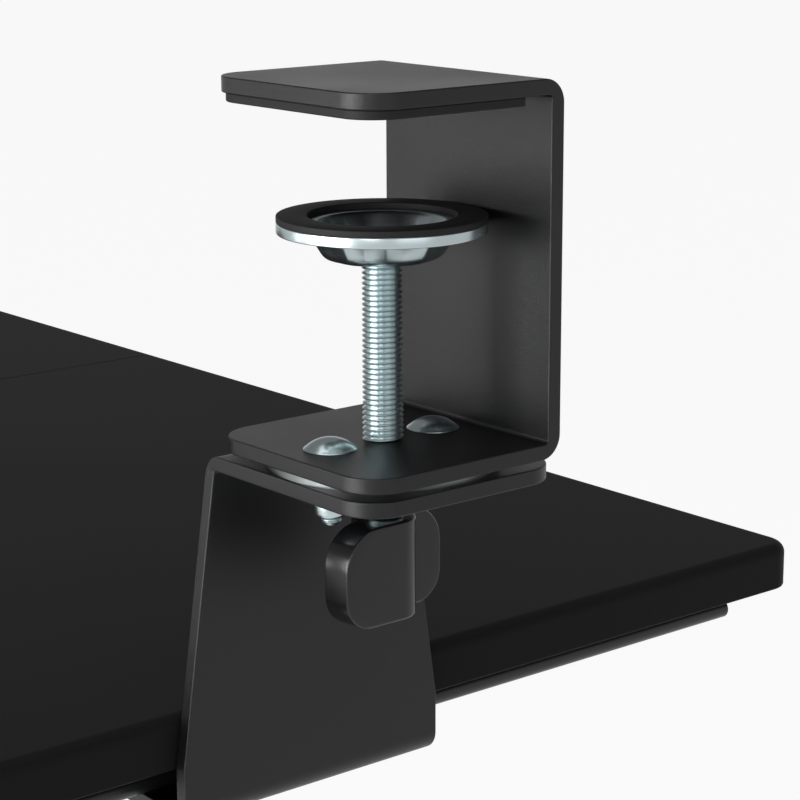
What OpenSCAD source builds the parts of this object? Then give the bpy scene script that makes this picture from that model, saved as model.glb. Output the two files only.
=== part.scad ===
// Clamp-on keyboard tray that slides out from under a desk.
// X runs along the desk's edge, +Y points under the desk, +Z is up.
// The origin lies midway between the two clamps, on the line through both screws,
// at the level of the desk top's upper face, where the clamp pads rest.

/* [Tray] */
// Width of the whole tray, over both panels
tray_w = 704; // [620:4:780]
// Depth of the tray, from the user's edge to the desk side
tray_d = 300; // [295:5:330]
// Thickness of the coated board
board_t = 13.8; // [12:0.2:18]
// Distance from the clamp screws to the user's edge of the tray, pulled out
tray_reach = 191.4; // [180:0.2:200]
// Radius of the tray's corners in plan
tray_corner_r = 5; // [2:0.5:9]
// Radius of the rounded upper edges
top_edge_r = 5.5; // [1:0.5:8]
// Radius of the rounded lower edges
low_edge_r = 1.6; // [0.5:0.1:3]
// Chamfer along the seam where the panels meet
seam_chamfer = 0.4; // [0.2:0.1:1]

/* [Panel joint] */
// Diameter of the wooden dowels across the seam
dowel_d = 8; // [6:0.5:8]
// Length of the wooden dowels
dowel_l = 36; // [24:1:50]
// Distance between the dowels along the seam
dowel_pitch = 90; // [60:5:110]
// Length of each joining plate, across the seam
join_l = 90; // [70:2:120]
// Width of each joining plate, along the seam
join_w = 32; // [26:1:44]
// Thickness of each joining plate
join_t = 1.6; // [1:0.2:3]
// Distance between the two joining plates, centre to centre
join_pitch = 170; // [120:5:190]

/* [Clamp strap] */
// Width of the clamp strap, along the desk's edge
strap_w = 60; // [50:1:70]
// Thickness of the clamp strap
strap_t = 3.8; // [3:0.1:5]
// Distance from the screw axis to the outer face of the upright wall
strap_back = 29.6; // [28:0.2:34]
// Distance from the screw axis to the free ends of the arms
strap_nose = 28.5; // [27:0.5:36]
// Clear height from the lower arm up to the pad
mouth_h = 79.8; // [70:0.2:95]
// Corner radius at the free ends, in plan
corner_r = 9.8; // [4:0.2:14]
// Outer radius of every sheet bend
bend_out_r = 5.8; // [5:0.1:7]
// Inner radius of every sheet bend
bend_in_r = 1.2; // [0.5:0.1:2]

/* [Desk pad] */
// Thickness of the rubber pad under the upper arm
pad_t = 2.2; // [1:0.2:4]
// Margin from the arm's edges in to the pad
pad_margin = 1; // [0.5:0.5:5]
// Bare stretch between the pad and the upright wall
pad_wall_gap = 7.5; // [4:0.5:14]

/* [Clamp screw] */
// Outside diameter of the threaded rod
rod_d = 9.8; // [8:0.1:12]
// Thread rise per turn, which sets how fast the foot climbs
thread_pitch = 1.25; // [1:0.25:1.75]
// Diameter of the journal that the foot swivels on
journal_d = 6.4; // [4:0.2:7]
// Diameter of the riveted head that keeps the foot on
rivet_d = 9.4; // [8.5:0.1:12]
// Height of the riveted head
rivet_h = 1.6; // [1:0.1:2.5]
// Length of rod that sits inside the wing knob
rod_in_knob = 18; // [12:1:20]

/* [Pressure foot] */
// Clear gap between the desk pad and the foot's rubber ring, as photographed
jaw_gap = 26; // [24.5:0.1:50]
// Outer diameter of the foot's flange
foot_d = 49.6; // [46:0.2:52]
// Thickness of the pressed sheet
foot_t = 2.6; // [1.6:0.2:3]
// Outer diameter of the dish under the flange
dish_d = 33.4; // [30:0.2:36]
// Outer diameter of the dish at its floor
dish_floor_d = 24.6; // [20:0.2:28]
// Depth of the dish below the flange
dish_h = 6.4; // [5:0.2:9]
// Number of pressed flutes around the dish
flutes = 10; // [8:1:14]
// Depth of each pressed flute
flute_depth = 0.4; // [0.3:0.1:0.9]
// Thickness of the rubber ring on the flange
ring_t = 1.6; // [1:0.2:3]
// Inner diameter of the rubber ring
ring_in_d = 35.2; // [33:0.2:38]

/* [Wing knob] */
// Thickness of each wing
wing_t = 7.8; // [7:0.2:9]
// Distance from the screw axis to the tip of each wing
wing_reach = 18.2; // [16:0.2:22]
// Height of the knob
wing_h = 24.8; // [22:0.2:32]
// Upper corner radius of the wing tips
wing_top_r = 9.8; // [5:0.2:10.6]
// Lower corner radius of the wing tips
wing_low_r = 8; // [5:0.2:10.6]
// Gap between the bracket and the knob, as photographed
knob_gap = 9.6; // [9.6:0.1:30]

/* [Carriage bolts] */
// Shank diameter of the carriage bolts
bolt_d = 5; // [4:0.5:6]
// Diameter of the domed bolt heads
bolt_head_d = 12.8; // [11:0.2:14]
// Height of the domed bolt heads
bolt_head_h = 2.8; // [2:0.1:3.4]
// Distance between the two bolts of a clamp
bolt_pitch = 31.6; // [29:0.2:34]
// Offset of the bolt pair from the screw axis, towards the desk side
bolt_shift = 0.2; // [-2:0.1:1]
// Width across flats of the flange nuts
nut_af = 8; // [8:0.5:10]
// Height of the flange nuts
nut_h = 6.8; // [5:0.1:7.5]
// Diameter of the nuts' flange
nut_flange_d = 11.8; // [11:0.2:13]
// Thread that stands out below the nut
bolt_tail = 2.3; // [1:0.1:3]

/* [Support bracket] */
// Thickness of the bracket's sheet
bracket_t = 3.8; // [3:0.1:5]
// Diameter of the spacer disc between strap and bracket
spacer_d = 56; // [48:0.5:57]
// Thickness of the spacer disc
spacer_t = 1.8; // [1:0.1:4]
// Distance from the screw axis to the plate's free edge
plate_out = 29.7; // [28:0.1:34]
// Distance from the screw axis to the near face of the leg
leg_out = 29.4; // [28:0.1:34]
// Distance from the screw axis to the plate's user-side edge
plate_user = 31; // [29:0.5:34]
// Distance from the screw axis to the plate's desk-side edge
plate_desk = 28.6; // [28:0.2:34]
// Widening of the leg on each side, from the plate down to the straight foot
leg_flare = 10.8; // [4:0.2:16]
// Height of the straight-sided foot of the leg
leg_straight = 16; // [10:0.5:30]
// Height of the bracket, over the plate and the flange
bracket_h = 94.2; // [80:0.2:120]
// Length of the flange under the tray, from the leg's outer face
flange_len = 38.6; // [36:0.2:60]
// Corner radius of the flange
flange_corner_r = 9.8; // [2:0.2:11]

/* [Slides] */
// Width of the slide
slide_w = 24; // [22:0.5:28]
// Height of the slide, from the flange to the tray
slide_h = 10.7; // [10.2:0.1:13]
// Length of each slide member
slide_l = 275; // [245:5:280]
// Sheet thickness of the slide members
slide_t = 1.2; // [1:0.1:1.3]
// Gap between the leg and the slide
slide_inset = 12.4; // [8:0.2:14]
// Distance from the tray's user-side edge to the slide's end
channel_setback = 17.4; // [5:0.2:24]
// Distance from the screw axis to the rail's user-side end
rail_lead = 18.5; // [12:0.5:26]
// Travel of the tray from this position further out
travel_out = 25; // [5:1:30]
// Diameter of the bearing balls
ball_d = 3.2; // [3:0.1:3.4]
// Balls in each row
balls_per_row = 8; // [5:1:12]
// Length of the end stops
stop_l = 5; // [3:0.5:8]

/* [Slide fasteners] */
// Diameter of the machine screws that hold the rail
rail_screw_d = 4; // [3:0.5:4]
// Head diameter of the rail screws
rail_head_d = 8; // [7:0.2:9]
// Head height of the rail screws
rail_head_h = 2.2; // [1.6:0.1:2.6]
// Number of screws in each rail
rail_screws_n = 3; // [2:1:3]
// Distance from the first screw to the rail's stop, and from the last to the flange's edge
rail_screw_margin = 6.5; // [6:0.5:8]
// Width across flats of the rail nuts
rail_nut_af = 7; // [6:0.5:8]
// Height of the rail nuts
rail_nut_h = 3.2; // [2:0.1:4]
// Diameter of the wood screws in the board
wood_screw_d = 3.5; // [3:0.1:4]
// Head diameter of the countersunk wood screws
wood_head_d = 6.4; // [6:0.1:8]
// Length of the wood screws
wood_screw_l = 11; // [8:0.5:11.5]
// Number of wood screws in each channel
channel_screws_n = 4; // [2:1:6]

/* [Fits] */
// Radial running clearance of turning and threaded fits
running_clear = 0.05; // [0.02:0.01:0.1]
// Clearance of bolts and rod in plain holes
hole_clear = 0.25; // [0.15:0.05:0.6]
// Gap between the bracket's leg and the tray's end
end_gap = 1; // [0.8:0.1:3]
// Clearance between a ball and its race
race_clear = 0.08; // [0.05:0.01:0.1]
// Gap between slide parts that pass each other
slide_clear = 0.4; // [0.3:0.05:0.6]
// Gap left at each end of a travel
stop_clear = 0.5; // [0.3:0.1:1]
// Least gap between the bolt ends and the turning knob
tail_gap = 0.4; // [0.3:0.1:2]

/* [Hidden] */
$fn = 96;
eps = 0.01;
reach_far = 1000;

// Levels, downwards from the desk top
arm_under = pad_t;
arm_over = pad_t + strap_t;
lower_arm_top = -mouth_h;
lower_arm_under = lower_arm_top - strap_t;
plate_top = lower_arm_under - spacer_t;
plate_under = plate_top - bracket_t;
flange_under = plate_top - bracket_h;
flange_top = flange_under + bracket_t;
tray_under = flange_top + slide_h;
tray_top = tray_under + board_t;

// Foot, screw and knob levels
ring_top = -jaw_gap;
flange_face = ring_top - ring_t;
foot_flange_under = flange_face - foot_t;
dish_under = foot_flange_under - dish_h;
dish_floor = dish_under + foot_t;
knob_top = plate_under - max(knob_gap, nut_h + bolt_tail + tail_gap);
rod_end = knob_top - rod_in_knob;

// Places across and along
leg_in = leg_out + bracket_t;
rod_x = tray_w / 2 + end_gap + leg_in;
flange_end = leg_out + flange_len;
slide_x = leg_in + slide_inset + slide_w / 2;
tray_front = -tray_reach;
tray_rear = tray_front + tray_d;
channel_front = tray_front + channel_setback;
channel_rear = channel_front + slide_l;
rail_front = -rail_lead;
rail_rear = rail_front + slide_l;
bolt_y = [bolt_shift - bolt_pitch / 2, bolt_shift + bolt_pitch / 2];
bracket_mid = (plate_desk - plate_user) / 2;

// Slide section, u across from its middle and v up from the flange
race_r = ball_d / 2 + race_clear;
race_out_r = race_r + slide_t;
ball_u = slide_w / 2 - race_out_r;
ball_v = slide_clear + race_out_r;
neck_angle = 60;
neck_u = ball_u + race_out_r * cos(neck_angle);
neck_v = ball_v + race_r + slide_t / 4;
lip_angle = -108;
rail_arc = [130, 232];
rail_web_u = ball_u - race_out_r * cos(180 - rail_arc[0]) + slide_t / 4;
rail_top_v = ball_v + race_out_r * sin(rail_arc[0]);
cage_t = slide_t / 2;
cage_u = neck_u - slide_t - slide_clear;
cage_top_v = slide_h - slide_t - 2 * slide_clear;
cage_low_v = ball_v - ball_d / 4;
cage_mid = (rail_front + channel_rear) / 2;
cage_l = channel_rear - travel_out - rail_front - 2 * stop_l - 2 * stop_clear;
ball_pitch = (cage_l - 2 * ball_d) / (balls_per_row - 1);
rail_screw_first = rail_front + stop_l + rail_screw_margin;
rail_screw_last = plate_desk + leg_flare - rail_screw_margin;

// Wood screws
wood_sink = (wood_head_d - wood_screw_d) / 2;
channel_screw_margin = slide_l / 20;
join_screw_x = join_l / 2 - 3 * join_w / 8;
join_screw_y = join_w / 4;

// Placing: every clamp and slide part is drawn once, round the left screw axis
module on_left() {
  translate([-rod_x, 0, 0]) children();
}

module on_right() {
  mirror([1, 0, 0]) on_left() children();
}

// Screws and knobs are the same right-handed part on both sides
module on_right_same() {
  translate([rod_x, 0, 0]) children();
}

module along_x(from, to) {
  translate([from, 0, 0]) rotate([90, 0, 90]) linear_extrude(to - from) children();
}

module along_y(from, to) {
  translate([0, to, 0]) rotate([90, 0, 0]) linear_extrude(to - from) children();
}

module span_rect(low, high) {
  translate(low) square(high - low);
}

// Rectangle whose corners on the high side of its first axis are round
module nose_rect(low, high, r) {
  span_rect(low, [high[0] - r, high[1]]);
  span_rect([low[0], low[1] + r], [high[0], high[1] - r]);
  for (v = [low[1] + r, high[1] - r]) translate([high[0] - r, v]) circle(r);
}

// What a round corner leaves of its square, in the quarter given by two signs
module corner_waste(at, signs, r) {
  translate(at) scale_signs(signs) difference() {
    translate([-r, -r]) square(r + 1);
    translate([-r, -r]) circle(r);
  }
}

// Metal that fills an inner corner round
module corner_fill(at, signs, r) {
  translate(at) scale_signs(signs) difference() {
    translate([-eps, -eps]) square(r + eps);
    translate([r, r]) circle(r);
  }
}

module scale_signs(signs) {
  mirror([signs[0] < 0 ? 1 : 0, 0]) mirror([0, signs[1] < 0 ? 1 : 0]) children();
}

// Part of a ring between two angles
module ring_arc(r_in, r_out, from, to) {
  steps = 4;
  intersection() {
    difference() {
      circle(r_out);
      circle(r_in);
    }
    polygon(concat([[0, 0]], [for (i = [0:steps])
      2 * r_out * [cos(from + (to - from) * i / steps), sin(from + (to - from) * i / steps)]]));
  }
}

// Cylinder along X for the bores and pins that cross the slide
module bar_x(r, from, to) {
  translate([from, 0, 0]) rotate([0, 90, 0]) cylinder(r = r, h = to - from);
}

// Clamp strap: one bent C of flat bar
module strap_side() {
  difference() {
    span_rect([-strap_back, lower_arm_under], [strap_nose, arm_over]);
    corner_waste([-strap_back, arm_over], [-1, 1], bend_out_r);
    corner_waste([-strap_back, lower_arm_under], [-1, -1], bend_out_r);
    difference() {
      span_rect([strap_t - strap_back, lower_arm_top], [strap_nose + 1, arm_under]);
      corner_fill([strap_t - strap_back, lower_arm_top], [1, 1], bend_in_r);
      corner_fill([strap_t - strap_back, arm_under], [1, -1], bend_in_r);
    }
  }
}

module strap_plan() {
  rotate([0, 0, 90]) nose_rect([-strap_back - 1, -strap_w / 2], [strap_nose, strap_w / 2], corner_r);
}

module clamp_strap() {
  color([0.16, 0.16, 0.17]) difference() {
    intersection() {
      along_x(-strap_w / 2, strap_w / 2) strap_side();
      translate([0, 0, lower_arm_under - 1]) linear_extrude(arm_over - lower_arm_under + 2) strap_plan();
    }
    translate([0, 0, lower_arm_under - 1]) cylinder(d = rod_d + 2 * running_clear, h = strap_t + 2);
    for (y = bolt_y) translate([0, y, lower_arm_under + strap_t / 2])
      cube([bolt_d + 2 * hole_clear, bolt_d + 2 * hole_clear, strap_t + 2], center = true);
  }
}

// Rubber pad glued under the upper arm
module clamp_pad() {
  half = strap_w / 2 - pad_margin;
  color([0.07, 0.07, 0.075]) linear_extrude(pad_t) rotate([0, 0, 90])
    nose_rect([strap_t - strap_back + pad_wall_gap, -half], [strap_nose - pad_margin, half], corner_r - pad_margin);
}

// Zinc disc that keeps the bracket clear of the strap
module spacer_disc() {
  color([0.7, 0.72, 0.74]) difference() {
    translate([0, 0, plate_top]) cylinder(d = spacer_d, h = spacer_t);
    translate([0, 0, plate_top - 1]) {
      cylinder(r = rod_d / 2 + 2 * hole_clear, h = spacer_t + 2);
      for (y = bolt_y) translate([0, y, 0]) cylinder(r = bolt_d / 2 + hole_clear, h = spacer_t + 2);
    }
  }
}

// Carriage bolts: domed head, square neck in the strap, plain shank down to the tail
module dome(d, h) {
  dome_r = (d * d / 4 + h * h) / (2 * h);
  rotate_extrude() intersection() {
    translate([0, h - dome_r]) circle(dome_r);
    square([d, h + 1]);
  }
}

module carriage_bolts() {
  tail_z = plate_under - nut_h - bolt_tail;
  neck_h = strap_t - hole_clear;
  color([0.72, 0.75, 0.78]) for (y = bolt_y) translate([0, y, 0]) {
    translate([0, 0, lower_arm_top]) dome(bolt_head_d, bolt_head_h);
    translate([-bolt_d / 2, -bolt_d / 2, lower_arm_top - neck_h]) cube([bolt_d, bolt_d, neck_h]);
    translate([0, 0, tail_z]) rotate_extrude() polygon([
      [0, 0], [bolt_d / 2 - bolt_d / 8, 0], [bolt_d / 2, bolt_d / 8],
      [bolt_d / 2, lower_arm_top - neck_h - tail_z], [0, lower_arm_top - neck_h - tail_z]]);
  }
}

// Lock nut: round flange, hexagon, and the round collar that holds its locking ring
module flange_nut(af, flange_d, h, bore_r) {
  flange_h = h / 6;
  collar_h = h * 0.4;
  difference() {
    union() {
      translate([0, 0, h - flange_h]) cylinder(d = flange_d, h = flange_h);
      translate([0, 0, collar_h]) rotate([0, 0, 30]) cylinder(d = af / cos(30), h = h - collar_h, $fn = 6);
      cylinder(r = af / 2 - hole_clear, h = h - flange_h);
    }
    translate([0, 0, -1]) cylinder(r = bore_r, h = h + 2);
  }
}

module flange_nuts() {
  color([0.72, 0.75, 0.78]) for (y = bolt_y) translate([0, y, plate_under - nut_h])
    flange_nut(nut_af, nut_flange_d, nut_h, bolt_d / 2 + running_clear);
}

// Support bracket: plate under the clamp, tapered leg, flange under the tray
module bracket_section() {
  difference() {
    union() {
      span_rect([-plate_out, plate_under], [leg_in, plate_top]);
      span_rect([leg_out, flange_under], [leg_in, plate_top]);
      span_rect([leg_out, flange_under], [flange_end, flange_top]);
      corner_fill([leg_out, plate_under], [-1, -1], bend_in_r);
      corner_fill([leg_in, flange_top], [1, 1], bend_in_r);
    }
    corner_waste([leg_in, plate_top], [1, 1], bend_out_r);
    corner_waste([leg_out, flange_under], [-1, -1], bend_out_r);
  }
}

module bracket_face() {
  straight_top = flange_under + leg_straight;
  polygon([
    [-plate_user, plate_top + 1], [plate_desk, plate_top + 1], [plate_desk, plate_under],
    [plate_desk + leg_flare, straight_top], [plate_desk + leg_flare, flange_under - 1],
    [-plate_user - leg_flare, flange_under - 1], [-plate_user - leg_flare, straight_top],
    [-plate_user, plate_under]]);
}

module bracket_plan() {
  foot_half = (plate_user + plate_desk) / 2 + leg_flare;
  rotate([0, 0, 180]) nose_rect([-leg_in, -plate_desk], [plate_out, plate_user], corner_r);
  translate([0, bracket_mid])
    nose_rect([leg_out - bend_in_r, -foot_half], [flange_end, foot_half], flange_corner_r);
}

module support_bracket() {
  color([0.16, 0.16, 0.17]) difference() {
    intersection() {
      along_y(-reach_far, reach_far) bracket_section();
      along_x(-plate_out - 1, flange_end + 1) bracket_face();
      translate([0, 0, flange_under - 1]) linear_extrude(bracket_h + 2) bracket_plan();
    }
    translate([0, 0, plate_under - 1]) {
      cylinder(r = rod_d / 2 + 2 * hole_clear, h = bracket_t + 2);
      for (y = bolt_y) translate([0, y, 0]) cylinder(r = bolt_d / 2 + hole_clear, h = bracket_t + 2);
    }
    at_rail_screws() translate([0, 0, flange_under - 1])
      cylinder(r = rail_screw_d / 2 + hole_clear, h = bracket_t + 2);
  }
}

// Clamp screw: plain rod, journal through the foot, riveted head
module clamp_screw() {
  shoulder = dish_under - 2 * running_clear;
  head_z = dish_floor + 2 * running_clear;
  chamfer = rod_d / 12;
  color([0.66, 0.72, 0.76]) rotate_extrude() polygon([
    [0, rod_end], [rod_d / 2 - chamfer, rod_end], [rod_d / 2, rod_end + chamfer],
    [rod_d / 2, shoulder - chamfer], [rod_d / 2 - chamfer, shoulder], [journal_d / 2, shoulder],
    [journal_d / 2, head_z], [rivet_d / 2, head_z], [rivet_d / 2, head_z + rivet_h / 2],
    [rivet_d / 2 - rivet_h / 2, head_z + rivet_h], [0, head_z + rivet_h]]);
}

// Pressure foot: pressed dish with a wide flange, fluted round its side
module clamp_foot() {
  soft = foot_t / 2;
  bore_r = journal_d / 2 + running_clear;
  lip_r = dish_d / 2 - foot_t;
  floor_r = dish_floor_d / 2;
  color([0.74, 0.78, 0.8]) difference() {
    rotate_extrude() polygon([
      [bore_r, dish_under], [floor_r - soft, dish_under], [floor_r + soft / 3, dish_under + soft / 3],
      [floor_r + soft, dish_under + soft], [dish_d / 2, foot_flange_under - soft / 2],
      [dish_d / 2 + soft / 2, foot_flange_under], [foot_d / 2, foot_flange_under],
      [foot_d / 2, flange_face], [lip_r + soft, flange_face], [lip_r + soft / 3, flange_face - soft / 3],
      [lip_r, flange_face - soft], [floor_r - soft, dish_floor + soft / 2],
      [floor_r - 2 * soft, dish_floor], [bore_r, dish_floor]]);
    for (i = [0:flutes - 1]) rotate([0, 0, 360 * i / flutes]) flute_cutter();
  }
}

// Leaning round bar that presses one flute into the dish's side
module flute_cutter() {
  lean = atan2((dish_d - dish_floor_d) / 2, dish_h);
  flute_r = dish_d / 10;
  mid_r = (dish_d + dish_floor_d + foot_t) / 4 + flute_r - flute_depth;
  translate([mid_r, 0, foot_flange_under - dish_h / 2 - flute_r * sin(lean)]) rotate([0, lean, 0])
    cylinder(r = flute_r, h = dish_h * 0.8, center = true);
}

// Rubber ring on the foot's flange
module foot_ring() {
  soft = ring_t / 5;
  color([0.06, 0.06, 0.065]) rotate_extrude() polygon([
    [ring_in_d / 2, flange_face], [foot_d / 2, flange_face], [foot_d / 2, ring_top - soft],
    [foot_d / 2 - soft, ring_top], [ring_in_d / 2 + soft, ring_top], [ring_in_d / 2, ring_top - soft]]);
}

// Wing knob: two wings set off from each other across a round hub as thick as both
module wing() {
  along_x(-wing_t, 0) difference() {
    span_rect([0, -wing_h], [wing_reach, 0]);
    corner_waste([wing_reach, 0], [1, 1], wing_top_r);
    corner_waste([wing_reach, -wing_h], [1, -1], wing_low_r);
  }
}

module wing_knob() {
  color([0.15, 0.15, 0.16]) translate([0, 0, knob_top]) difference() {
    union() {
      wing();
      rotate([0, 0, 180]) wing();
      translate([0, 0, -wing_h]) cylinder(r = wing_t, h = wing_h);
    }
    translate([0, 0, -rod_in_knob - 2 * running_clear])
      cylinder(r = rod_d / 2 + running_clear, h = wing_h + 1);
  }
}

// Slide: outer channel on the tray, inner rail on the bracket
module in_slide() {
  translate([slide_x, 0, flange_top]) children();
}

module both_sides() {
  children();
  mirror([1, 0]) children();
}

module channel_section() {
  span_rect([-neck_u, slide_h - slide_t], [neck_u, slide_h]);
  both_sides() {
    span_rect([neck_u - slide_t, neck_v], [neck_u, slide_h]);
    translate([ball_u, ball_v]) ring_arc(race_r, race_out_r, lip_angle, neck_angle);
  }
}

module rail_section() {
  span_rect([-rail_web_u, 0], [rail_web_u, slide_t]);
  both_sides() translate([ball_u, ball_v]) ring_arc(race_r, race_out_r, rail_arc[0], rail_arc[1]);
}

module slide_channel() {
  color([0.25, 0.25, 0.26]) in_slide() difference() {
    along_y(channel_front, channel_rear) channel_section();
    at_channel_screws() wood_screw_hole(0);
  }
}

module slide_rail() {
  color([0.7, 0.72, 0.74]) difference() {
    in_slide() along_y(rail_front, rail_rear) rail_section();
    at_rail_screws() translate([0, 0, flange_top - 1])
      cylinder(r = rail_screw_d / 2 + hole_clear, h = slide_t + 2);
  }
}

// Ball cage: thin strip folded down between the races
module cage_section() {
  difference() {
    span_rect([-cage_u, cage_low_v], [cage_u, cage_top_v]);
    span_rect([cage_t - cage_u, cage_low_v - 1], [cage_u - cage_t, cage_top_v - cage_t]);
  }
}

function ball_y(i) = cage_mid + (i - (balls_per_row - 1) / 2) * ball_pitch;

module ball_cage() {
  color([0.5, 0.5, 0.52]) in_slide() difference() {
    along_y(cage_mid - cage_l / 2, cage_mid + cage_l / 2) cage_section();
    for (i = [0:balls_per_row - 1]) translate([0, ball_y(i), ball_v])
      bar_x(ball_d / 2 + race_clear, -slide_w / 2, slide_w / 2);
  }
}

module slide_balls() {
  color([0.8, 0.8, 0.82]) in_slide()
    for (u = [-ball_u, ball_u], i = [0:balls_per_row - 1]) translate([u, ball_y(i), ball_v])
      sphere(d = ball_d);
}

// End stops: the rail's catches the cage, the channel's catch the rail and the cage
module rail_stop() {
  half = rail_web_u - 2 * slide_t;
  color([0.1, 0.1, 0.1]) in_slide() along_y(rail_front, rail_front + stop_l)
    span_rect([-half, slide_t], [half, slide_h - slide_t - slide_clear]);
}

module channel_stops() {
  half = rail_web_u - slide_t;
  color([0.1, 0.1, 0.1]) in_slide() {
    along_y(channel_front, channel_front + stop_l)
      span_rect([-half, slide_clear + slide_t], [half, slide_h - slide_t]);
    along_y(channel_rear - stop_l, channel_rear)
      span_rect([-half, rail_top_v + slide_clear], [half, slide_h - slide_t]);
  }
}

// Rail screws and their nuts, through the flange
module at_rail_screws() {
  pitch = (rail_screw_last - rail_screw_first) / (rail_screws_n - 1);
  for (i = [0:rail_screws_n - 1]) translate([slide_x, rail_screw_first + i * pitch, 0]) children();
}

module rail_screws() {
  tail_z = flange_under - rail_nut_h - rail_screw_d / 3;
  seat_z = flange_top + slide_t;
  shank_r = rail_screw_d / 2;
  color([0.72, 0.75, 0.78]) at_rail_screws() rotate_extrude() polygon([
    [0, tail_z], [shank_r - 0.4, tail_z], [shank_r, tail_z + 0.4], [shank_r, seat_z],
    [rail_head_d / 2, seat_z], [rail_head_d / 2, seat_z + rail_head_h / 2],
    [rail_head_d / 2 - rail_head_h / 2, seat_z + rail_head_h], [0, seat_z + rail_head_h]]);
}

module rail_nuts() {
  color([0.72, 0.75, 0.78]) at_rail_screws() translate([0, 0, flange_under - rail_nut_h]) difference() {
    cylinder(d = rail_nut_af / cos(30), h = rail_nut_h, $fn = 6);
    translate([0, 0, -1]) cylinder(r = rail_screw_d / 2 + running_clear, h = rail_nut_h + 2);
  }
}

// Countersunk wood screw, driven up from z = 0 at the plate's lower face
module wood_screw() {
  head_r = wood_head_d / 2;
  shank_r = wood_screw_d / 2;
  rotate_extrude() polygon([
    [0, 0], [head_r, 0], [shank_r, wood_sink], [shank_r, wood_screw_l - 2 * shank_r],
    [0, wood_screw_l]]);
}

// Room for that screw, with its clearance all round
module wood_screw_hole(floor_z) {
  grow = running_clear;
  head_r = wood_head_d / 2 + grow;
  shank_r = wood_screw_d / 2 + grow;
  rotate_extrude() polygon([
    [0, floor_z - 1], [head_r, floor_z - 1], [head_r, floor_z], [shank_r, floor_z + head_r - shank_r],
    [shank_r, wood_screw_l - 2 * shank_r + grow], [0, wood_screw_l + 2 * grow]]);
}

function channel_screw_y(i) = channel_front + channel_screw_margin
  + i * (slide_l - 2 * channel_screw_margin) / (channel_screws_n - 1);

// Places of the channel's screws, measured in the slide's own frame
module at_channel_screws() {
  for (i = [0:channel_screws_n - 1])
    translate([0, channel_screw_y(i), slide_h - slide_t]) children();
}

module channel_screws() {
  color([0.72, 0.75, 0.78]) in_slide() at_channel_screws() wood_screw();
}

// Tray panels: rounded boards that meet at a dowelled seam
module panel_end_profile() {
  difference() {
    span_rect([-tray_w / 2, tray_under], [0, tray_top]);
    corner_waste([-tray_w / 2, tray_top], [-1, 1], top_edge_r);
    corner_waste([-tray_w / 2, tray_under], [-1, -1], low_edge_r);
    for (z = [tray_under, tray_top]) translate([0, z]) rotate([0, 0, 45])
      square(seam_chamfer * sqrt(2), center = true);
  }
}

module panel_side_profile() {
  difference() {
    span_rect([tray_front, tray_under], [tray_rear, tray_top]);
    for (s = [[tray_front, -1], [tray_rear, 1]]) {
      corner_waste([s[0], tray_top], [s[1], 1], top_edge_r);
      corner_waste([s[0], tray_under], [s[1], -1], low_edge_r);
    }
  }
}

module tray_panel() {
  difference() {
    intersection() {
      along_y(tray_front - 1, tray_rear + 1) panel_end_profile();
      along_x(-tray_w / 2 - 1, 1) panel_side_profile();
      translate([0, 0, tray_under - 1]) linear_extrude(board_t + 2) mirror([1, 0])
        nose_rect([-1, tray_front], [tray_w / 2, tray_rear], tray_corner_r);
    }
    at_dowels() bar_x(dowel_d / 2 + running_clear, -dowel_l / 2 - hole_clear, 1);
    translate([-rod_x, 0, 0]) in_slide() at_channel_screws() wood_screw_hole(0);
    at_join_screws() translate([0, 0, tray_under - join_t]) wood_screw_hole(0);
  }
}

module tray_panel_left() {
  color([0.12, 0.12, 0.125]) tray_panel();
}

module tray_panel_right() {
  color([0.12, 0.12, 0.125]) mirror([1, 0, 0]) tray_panel();
}

module at_dowels() {
  for (i = [-1:1]) translate([0, (tray_front + tray_rear) / 2 + i * dowel_pitch, (tray_under + tray_top) / 2])
    children();
}

module tray_dowels() {
  color([0.75, 0.62, 0.42]) at_dowels() bar_x(dowel_d / 2, -dowel_l / 2, dowel_l / 2);
}

// Joining plates across the seam, screwed to the underside
module at_join_plates() {
  for (s = [-1, 1]) translate([0, (tray_front + tray_rear) / 2 + s * join_pitch / 2, 0]) children();
}

module at_join_screws() {
  at_join_plates() for (x = [-join_screw_x, join_screw_x], y = [-join_screw_y, join_screw_y])
    translate([x, y, 0]) children();
}

module joining_plates() {
  plate_r = join_w / 6;
  color([0.2, 0.2, 0.21]) difference() {
    at_join_plates() translate([0, 0, tray_under - join_t]) linear_extrude(join_t) both_sides()
      nose_rect([-eps, -join_w / 2], [join_l / 2, join_w / 2], plate_r);
    at_join_screws() translate([0, 0, tray_under - join_t]) wood_screw_hole(0);
  }
}

module joining_screws() {
  color([0.72, 0.75, 0.78]) at_join_screws() translate([0, 0, tray_under - join_t]) wood_screw();
}

on_left() clamp_strap();  // clamp_strap_left
on_right() clamp_strap();  // clamp_strap_right
on_left() clamp_pad();  // clamp_pad_left
on_right() clamp_pad();  // clamp_pad_right
on_left() clamp_screw();  // clamp_screw_left
on_right_same() clamp_screw();  // clamp_screw_right
on_left() clamp_foot();  // clamp_foot_left
on_right() clamp_foot();  // clamp_foot_right
on_left() foot_ring();  // foot_ring_left
on_right() foot_ring();  // foot_ring_right
on_left() wing_knob();  // wing_knob_left
on_right_same() wing_knob();  // wing_knob_right
on_left() spacer_disc();  // spacer_disc_left
on_right() spacer_disc();  // spacer_disc_right
on_left() carriage_bolts();  // carriage_bolts_left
on_right() carriage_bolts();  // carriage_bolts_right
on_left() flange_nuts();  // flange_nuts_left
on_right() flange_nuts();  // flange_nuts_right
on_left() support_bracket();  // support_bracket_left
on_right() support_bracket();  // support_bracket_right
on_left() slide_rail();  // slide_rail_left
on_right() slide_rail();  // slide_rail_right
on_left() rail_screws();  // rail_screws_left
on_right() rail_screws();  // rail_screws_right
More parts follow.
